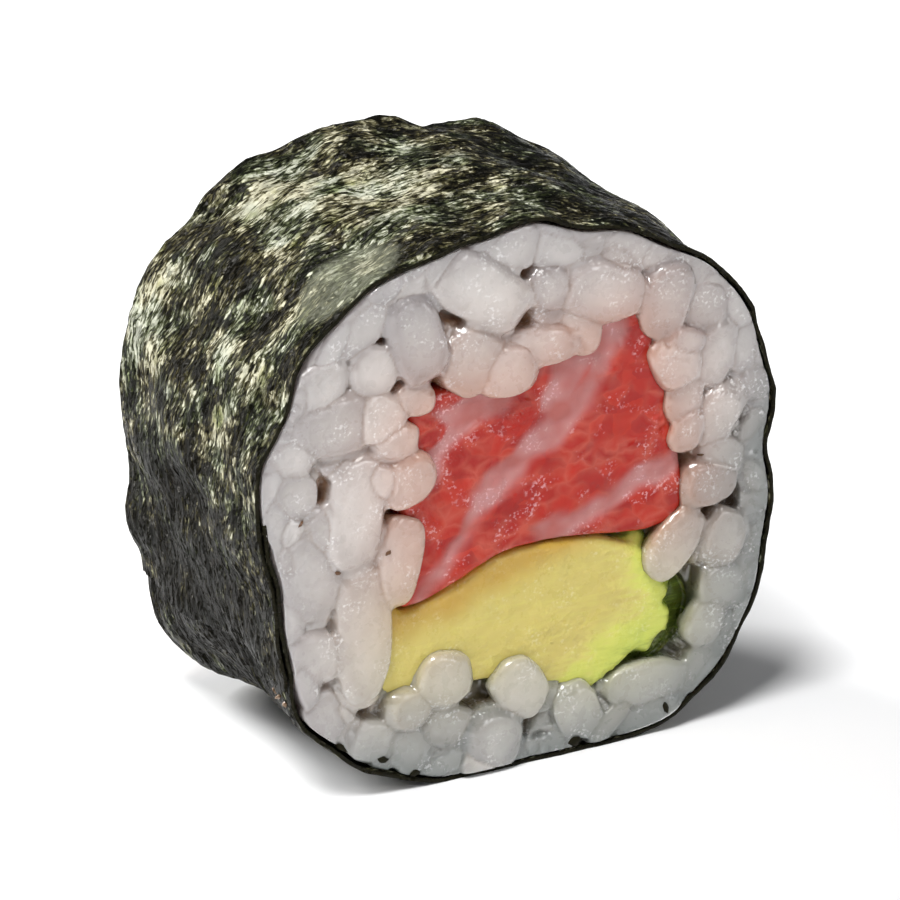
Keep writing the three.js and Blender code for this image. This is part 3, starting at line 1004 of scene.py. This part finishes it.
long_tilt, long_shade = shreds(tree, swayed, 1.2, 0.24, 12)
short_tilt, short_shade = shreds(tree, swayed, 0.5, 0.15, -20)
small_tilt, small_shade = shreds(tree, swayed, 0.24, 0.18, 30)
rough = {"Detail": 3.0, "Roughness": 0.65}
streaks_at = add_node(tree, "Mapping", {"Vector": swayed, "Scale": STREAKS_A_MM})
streaks = add_node(tree, "TexNoise", {"Vector": streaks_at, "Scale": 1.0, **rough}, "Fac")
clusters = add_node(tree, "TexNoise", {"Vector": sheet_mm, "Scale": 0.5, **rough}, "Fac")
cracked = {"Vector": swayed, "Scale": (1 / CRACKED_LONG, 1 / CRACKED_WIDE, 1)}
crack = parted(tree, add_node(tree, "Mapping", cracked), 0.14)
print("the pattern of shreds takes", len(tree.nodes), "nodes")

# %% [markdown]
# Where the shreds, the streaks and the painted sheen of the sheet add up, the skin is drawn pale, as painted
# glints and sheen, and elsewhere it is nearly black, darker still under painted shade. Patches lean to beige
# or to green, and a patch near the cut is drawn paler, as painted sheen.

# %% Roasted nori
# The dark end of each ramp is the nori's skin; its pale end is painted glints and sheen.
LIT_STEPS = (0.3, 0.5, 0.64, 0.8, 0.97)
BEIGE_SKIN_AND_GLINTS = ("#0E0D08", "#201D13", "#444029", "#726D52", "#C4C0A6")
GREEN_SKIN_AND_GLINTS = ("#0D0E09", "#1B1F12", "#3C4129", "#6C7058", "#BCBEAC")
EDGE_DARK_FROM, EDGE_DARK_AT = 0.12, 0.02  # mm from the cut edge of the sheet

height = weighed((long_tilt, 1.5), (short_tilt, 1.8), (small_tilt, 1.5), (streaks, 0.08), (crack, -0.04))
crackle = weighed((long_shade, 0.35), (short_shade, 0.4), (small_shade, 0.25))
# Painted sheen and painted shade, by place on the sheet.
painted_sheen_and_shade_fac = add_node(tree, "Attribute", result="Fac", attribute_name="painted_sheen_and_shade")
contrast = weighed((crackle, 1.0), (streaks, 0.9), (clusters, 1.8), (painted_sheen_and_shade_fac, 1.1), (crack, -0.25))
lit = add_node(tree, "Math", (contrast, 1.3), operation="SUBTRACT")
beige, green_black = (
    add_node(tree, "ValToRGB", {"Fac": lit}, stops=tuple(zip(LIT_STEPS, tones)))
    for tones in (BEIGE_SKIN_AND_GLINTS, GREEN_SKIN_AND_GLINTS)
)
nori_colour = stain_or_painted_light(tree, beige, patches(tree, sheet_mm, 0.35, 0.45, 0.6), 1.0, green_black)
greens = patches(tree, sheet_mm, 0.6, 0.52, 0.7, 0.0, 0.7, detail=3.0)
overlay = {MIX_SHARE: greens, MIX_UNDER: nori_colour, MIX_OVER: "#5F6A22"}
nori_colour = add_node(tree, "Mix", overlay, MIX_RESULT, data_type="RGBA", blend_type="OVERLAY")
# A patch near the cut painted a paler grey, a painted sheen.
nori_colour = stain_or_painted_light(tree, nori_colour, "painted_sheen_patch", 0.5, "#888A76")
# The sheet is painted darker along its cut edges, a painted shade.
across_sheet = add_node(tree, "SeparateXYZ", {"Vector": sheet_mm}, "Y")
from_middle = add_node(tree, "Math", (across_sheet, HALF_LENGTH), operation="SUBTRACT")
from_middle = add_node(tree, "Math", (from_middle,), operation="ABSOLUTE")
edge_range = (from_middle, HALF_LENGTH - EDGE_DARK_FROM, HALF_LENGTH - EDGE_DARK_AT)
nori_colour = stain_or_painted_light(tree, nori_colour, add_node(tree, "MapRange", edge_range), 1.0, "#1C1B12")
shaded(
    tree,
    {
        "Base Color": nori_colour,
        "Roughness": add_node(tree, "MapRange", (crackle, 0.3, 0.7, 0.42, 0.28)),
        "IOR": 1.5,
        "Specular IOR Level": 0.05,
        "Specular Tint": "#FFF2D6",
        "Normal": add_node(tree, "Bump", {"Height": height, "Distance": MM}),
    },
)
print("nori has", len(tree.nodes), "nodes")

# %% [markdown]
# ## The wet film
# Fish, avocado and rice are all moist. The film of water has soft waves, and in places it stands in small
# sharp beads. It glitters in clusters of flecks, and these glints are painted highlights, pale spots in the
# colour. Real flecks are finer than a pixel, so they are drawn about 0.2 mm wide, as pale spots of colour.


# %% Wet film and glitter
def wet_film(tree, place, rise):
    """The normal of a film whose waves and beads rise so many mm."""
    waves = add_node(tree, "TexNoise", {"Vector": place, "Scale": 0.9, "Detail": 1.0}, "Fac")
    fine = {"Vector": place, "Scale": 3.5, "Detail": 1.0, "Roughness": 0.6}
    beads = add_node(tree, "TexNoise", fine, "Fac")
    wet_spots = patches(tree, place, 0.55, 0.45, 0.6, 0.08, 0.6)
    beads = add_node(tree, "Math", (beads, wet_spots), operation="MULTIPLY")
    height = weighed((waves, rise), (beads, rise))
    return add_node(tree, "Bump", {"Height": height, "Distance": MM})


def glints(tree, place):
    """Where painted highlights lie on a wet surface, from 0 to 1: flecks that come in clusters."""
    clusters = patches(tree, place, 0.6, 0.53, 0.63)
    flecks = patches(tree, place, 5.5, 0.54, 0.7, detail=1.0)
    return add_node(tree, "Math", (clusters, flecks), operation="MULTIPLY")


print("flecks are about", round(1 / 5.5, 1), "mm wide")

# %% [markdown]
# ## Finish of the fish
# Raw fish is wet and lets light some way in, red light furthest. The muscle between the bands is made
# of small blocks, about 1.5 mm across, with a paler skin round each.

# %% Raw fish
BLOCK_SLANT = math.radians(38)
BLOCKS_A_MM = (0.75, 0.15, 1.2)  # across, along and up the strip
RED_TONES = ((0.0, "#9A0E00"), (0.5, "#A61400"), (1.0, "#B42206"))

fish_finish, tree = new_material("raw_fish")
place = object_mm(tree)
sway = add_node(tree, "TexNoise", {"Vector": place, "Scale": 0.9, "Detail": 2.0}, "Color")
swayed = add_node(tree, "VectorMath", (place, sway), operation="ADD")
blocks = {"Vector": swayed, "Rotation": (0, BLOCK_SLANT, 0), "Scale": BLOCKS_A_MM}
blocks_at = add_node(tree, "Mapping", blocks)
skin_shows = patches(tree, place, 0.5, 0.38, 0.62, 0.0, 0.6, detail=1.0)
block_skin = add_node(tree, "Math", (parted(tree, blocks_at, 0.26), skin_shows), operation="MULTIPLY")
block_tone = add_node(tree, "TexVoronoi", {"Vector": blocks_at, "Scale": 1.0}, "Color")
block_tone = add_node(tree, "SeparateColor", {"Color": block_tone}, "Red")
flesh = add_node(tree, "ValToRGB", {"Fac": block_tone}, stops=RED_TONES)
flesh = stain_or_painted_light(tree, flesh, block_skin, 1.0, "#C25C48")
sheath = add_node(tree, "TexNoise", {"Vector": place, "Scale": 0.6, "Detail": 1.0}, "Fac")
sheath = add_node(tree, "ValToRGB", {"Fac": sheath}, stops=((0.35, "#AC625C"), (0.65, "#BC8886")))
flesh = stain_or_painted_light(tree, flesh, "sinew", 0.9, sheath)
# Painted highlights: pale flecks where the wet film glitters.
flesh = stain_or_painted_light(tree, flesh, glints(tree, place), 0.5, "#EEC8C8")
shaded(
    tree,
    {
        "Base Color": flesh,
        "Subsurface Weight": 0.35,
        "Subsurface Radius": (1.0, 0.35, 0.25),
        "Subsurface Scale": 0.5 * MM,
        "Roughness": patches(tree, place, 1.2, 0.35, 0.65, 0.25, 0.12),
        "IOR": 1.42,
        "Normal": wet_film(tree, place, 0.15),
    },
)
print("raw fish has", len(tree.nodes), "nodes")

# %% [markdown]
# ## Finish of the avocado
# Ripe avocado is soft fat: smooth, with a dull sheen. Its colour goes from butter yellow to green with
# the distance from the skin, and fine threads run towards the green side.


# %% Ripe avocado
THREADS_A_MM = (0.8, 0.3, 3.4)
BUTTER_TO_SKIN = (
    (0.0, "#CBBB68"),
    (0.15, "#D2C86E"),
    (0.35, "#D2D466"),
    (0.62, "#C3CC5C"),
    (0.8, "#8FA343"),
    (1.0, "#46541A"),
)


def threaded(tree, name, threads, reach):
    """An attribute of the mesh whose bounds wander with the threads of the flesh."""
    amount = add_node(tree, "Attribute", result="Fac", attribute_name=name)
    wander = add_node(tree, "MapRange", (threads, 0.3, 0.7, -reach, reach))
    return add_node(tree, "Math", (amount, wander), operation="ADD", use_clamp=True)


avocado_finish, tree = new_material("ripe_avocado")
place = object_mm(tree)
threads_at = add_node(tree, "Mapping", {"Vector": place, "Scale": THREADS_A_MM})
thin = {"Scale": 1.0, "Detail": 3.0, "Roughness": 0.6, "Distortion": 0.4}
threads = add_node(tree, "TexNoise", {"Vector": threads_at, **thin}, "Fac")
tint = threaded(tree, "green", threads, 0.12)
butter = add_node(tree, "ValToRGB", {"Fac": tint}, stops=BUTTER_TO_SKIN)
# Painted shade in ochre along the top edge, under the fish.
butter = stain_or_painted_light(tree, butter, threaded(tree, "ochre_shade", threads, 0.1), 0.75, "#B68A2C")
# Painted highlights: pale flecks where the wet film glitters.
butter = stain_or_painted_light(tree, butter, glints(tree, place), 0.2, "#FAF6D8")
smeared = {"Vector": place, "Scale": 1.3, "Detail": 4.0, "Roughness": 0.55}
smear = add_node(tree, "TexNoise", smeared, "Fac")
shaded(
    tree,
    {
        "Base Color": butter,
        "Subsurface Weight": 0.3,
        "Subsurface Radius": (1.0, 0.8, 0.3),
        "Subsurface Scale": 0.9 * MM,
        "Roughness": add_node(tree, "MapRange", (smear, 0.3, 0.7, 0.2, 0.42)),
        "IOR": 1.45,
        "Normal": wet_film(tree, place, 0.1),
    },
)
print("ripe avocado has", len(tree.nodes), "nodes")

# %% [markdown]
# ## Finish of the rice
# A cooked grain is a clear jelly with a milky heart, so it glows a little and its edges look greyer than its
# middle. Vinegar and starch leave it glossy. The red of the fish and the green of the avocado are painted
# onto the grains beside them, as painted light that they cast into the rice, and deep between the grains the
# light that comes back is warm and dim, painted as shade.

# %% Sushi rice
MILK_TONES = ((0.2, "#898788"), (0.45, "#A6A4A3"), (0.75, "#CCCAC7"))
# Warmth is each grain's own tone. The seam colour is painted shade in the creases between grains, and blush
# and green are painted light that the fish and the avocado cast into the rice.
RICE_STAINS_AND_PAINTED_LIGHT = (  # attribute of the mesh, strength and colour
    ("warmth", 0.3, "#CDBFB2"),
    ("seam", 0.45, "#96887C"),
    ("blush", 0.75, "#B67A5C"),
    ("green", 0.4, "#CFC98E"),
)

rice_finish, tree = new_material("sushi_rice")
place = object_mm(tree)
milk = {"Vector": place, "Scale": 0.7, "Detail": 3.0, "Roughness": 0.6}
milk = add_node(tree, "TexNoise", milk, "Fac")
own_milk = add_node(tree, "Attribute", result="Fac", attribute_name="milkiness")
heart = add_node(tree, "Attribute", result="Fac", attribute_name="core")
milk = weighed((milk, 0.3), (own_milk, 0.4), (heart, 0.3))
grain_colour = add_node(tree, "ValToRGB", {"Fac": milk}, stops=MILK_TONES)
for name, share, stain in RICE_STAINS_AND_PAINTED_LIGHT:
    grain_colour = stain_or_painted_light(tree, grain_colour, name, share, stain)
# Painted shade deep between the grains: warm brown, and dark green near the avocado.
deep_tone = stain_or_painted_light(tree, "#A07A58", "green", 1.0, "#4E5020")
grain_colour = stain_or_painted_light(tree, grain_colour, "deep", 0.85, deep_tone)
# Painted shade near the nori wall, darker on the far side and darkest on the underside.
rim_painted_shade = stain_or_painted_light(tree, "#989292", "far_side", 1.0, "#8E8887")
rim_painted_shade = stain_or_painted_light(tree, rim_painted_shade, "underside", 1.0, "#505C5A")
grain_colour = stain_or_painted_light(tree, grain_colour, "rim", 0.8, rim_painted_shade)
# Painted highlights: white flecks where the wet film glitters.
grain_colour = stain_or_painted_light(tree, grain_colour, glints(tree, place), 0.35, "#FFFFFF")
starch = add_node(tree, "TexNoise", {"Vector": place, "Scale": 1.6, "Detail": 2.0}, "Fac")
shaded(
    tree,
    {
        "Base Color": grain_colour,
        "Subsurface Weight": 1.0,
        "Subsurface Radius": (1.0, 0.95, 0.9),
        "Subsurface Scale": 1.6 * MM,
        "Roughness": add_node(tree, "MapRange", (starch, 0.35, 0.65, 0.22, 0.4)),
        "IOR": 1.45,
        "Normal": add_node(tree, "Bump", {"Height": starch, "Distance": 0.05 * MM}),
        "Coat Weight": 1.0,
        "Coat IOR": 1.7,
        "Coat Roughness": 0.1,
        "Coat Normal": wet_film(tree, place, 0.14),
    },
)
print("sushi rice has", len(tree.nodes), "nodes")

# %% [markdown]
# ## The pieces take their places
# Every piece now rides on the frame and stands for its CAD node. The nori gets its thickness here, by
# solidifying the sheet inwards. Between the two beds of grains the bed is left plain, as nobody sees it.

# %% Pieces
CORE_END = 5.9  # a little inside both beds of grains, in mm from the middle of the roll
front_rice_tree = BVHTree.FromBMesh(front_rice)
whole_sheet = nori.verts[:] + nori.edges[:] + nori.faces[:]
bmesh.ops.solidify(nori, geom=whole_sheet, thickness=LEAF_THICKNESS)
nori.normal_update()
nori_tree = BVHTree.FromBMesh(nori)
print("nori holds", round(nori.calc_volume(signed=True), 1), "cubic mm")
finish_piece("nori_sheet", nori, nori_finish, "nori_wrap")
finish_piece("fish_cut", fish, fish_finish, "fish_strip")
finish_piece("avocado_cut", avocado, avocado_finish, "avocado_strip")
finish_piece("rice_front", front_rice, rice_finish, "rice_bed")
finish_piece("rice_back", back_rice, rice_finish, "rice_bed")
finish_piece("rice_core", slice_of_rice(-CORE_END, CORE_END), rice_finish, "rice_bed")

# %% [markdown]
# ## Crumbs and specks
# The knife leaves scraps of nori on the rice, and bran and rice dust stick here and there. Each crumb
# follows the sight line through its place in the photograph until it lands on the body behind.

# %% Crumbs and specks
# Each crumb is its pixel x and y in the photograph, and its size in mm.
NORI_BITS = ((340, 750, 0.8), (383, 760, 0.6), (415, 773, 0.7), (575, 741, 0.8), (666, 708, 0.7))
BRAN_SPECKS = ((301, 524, 0.4), (338, 573, 0.35), (388, 553, 0.3), (700, 455, 0.35))
AMBER_CRUMBS = ((279, 697, 0.55), (285, 704, 0.4), (275, 690, 0.35))
CRUMB_FINENESS = 2  # how often a crumb's triangles are split
CRUMB_UNEVENNESS = 0.7


def scatter(name, spots, tree, thickness, material, draw):
    """One piece of crumbs, each so thick for its length, that lie on a body where the spots show it."""
    bm = bmesh.new()
    for x, y, size in spots:
        on_cut = on_plane(x, y, -HALF_LENGTH)
        seen = tree.ray_cast(eye, on_cut - eye)[0]
        place, normal, _, _ = tree.find_nearest(seen or on_cut)
        shift = Vector((draw.uniform(-50, 50), 0, 0))
        ball = bmesh.ops.create_icosphere(bm, subdivisions=CRUMB_FINENESS, radius=size / 2)["verts"]
        for vert in ball:
            vert.co *= 1 + CRUMB_UNEVENNESS * noise.noise(vert.co * 2.4 / size + shift)
        shape = Matrix.Diagonal((1, draw.uniform(0.35, 0.8), thickness, 1))
        upright = normal.to_track_quat("Z", "Y").to_matrix().to_4x4()
        turn = upright @ Matrix.Rotation(draw.uniform(0, math.pi), 4, "Z")
        bmesh.ops.transform(bm, matrix=Matrix.Translation(place) @ turn @ shape, verts=ball)
    finish_piece(name, bm, material)


bran_finish, tree = new_material("bran")
shaded(tree, {"Base Color": "#5A3A1E", "Roughness": 0.5})
amber_finish, tree = new_material("dried_glaze")
shaded(tree, {"Base Color": "#75583A", "Roughness": 0.35})
draw = random.Random(5)
scatter("nori_bits", NORI_BITS, front_rice_tree, 0.3, nori_finish, draw)
scatter("bran_specks", BRAN_SPECKS, front_rice_tree, 0.6, bran_finish, draw)
scatter("amber_crumbs", AMBER_CRUMBS, nori_tree, 0.7, amber_finish, draw)

# %% [markdown]
# ## Table and light
# The photograph has a plain white ground and soft light. A wide pale floor stands in for the table. One
# soft lamp above lights the whole roll, and a larger one behind it picks out the top of the nori. In
# front a weaker lamp fills the cut face, a small card low on the right gives the wet glints, and the
# world lights the rest.

# %% Floor, lamps and world
FLOOR_SIDE = 3.0  # metres
floor_bm = bmesh.new()
bmesh.ops.create_grid(floor_bm, x_segments=1, y_segments=1, size=FLOOR_SIDE / 2)
floor = object_of("floor", floor_bm)
floor_finish, tree = new_material("white_table")
shaded(tree, {"Base Color": "#F2F2F2", "Roughness": 0.6})
floor.data.materials.append(floor_finish)


def soft_lamp(name, place, side, power, colour):
    """A square lamp in metres that shines at the middle of the roll."""
    data = bpy.data.lights.new(name, "AREA")
    data.size = side
    data.energy = power
    data.color = linear(colour)[:3]
    lamp = bpy.data.objects.new(name, data)
    lamp.location = place
    away = Vector(place) - Vector((0, 0, CENTRE_HEIGHT * MM))
    lamp.rotation_euler = away.to_track_quat("Z", "Y").to_euler()
    scene.collection.objects.link(lamp)


soft_lamp("window", (-0.16, -0.11, 0.40), 0.15, 2.1, "#FFFFFF")
soft_lamp("back_window", (-0.26, 0.50, 0.30), 0.24, 6.3, "#FFFFFF")
soft_lamp("fill", (0.08, -0.46, 0.38), 0.14, 0.4, "#FFFDFA")
soft_lamp("front_card", (0.20, -0.47, 0.07), 0.12, 0.18, "#FFFFFF")
scene.world = bpy.data.worlds.new("studio")
scene.world.use_nodes = True
sky = scene.world.node_tree.nodes["Background"]
sky.inputs["Color"].default_value = linear("#F4F7FF")
sky.inputs["Strength"].default_value = 0.15
scene.view_settings.view_transform = "Standard"
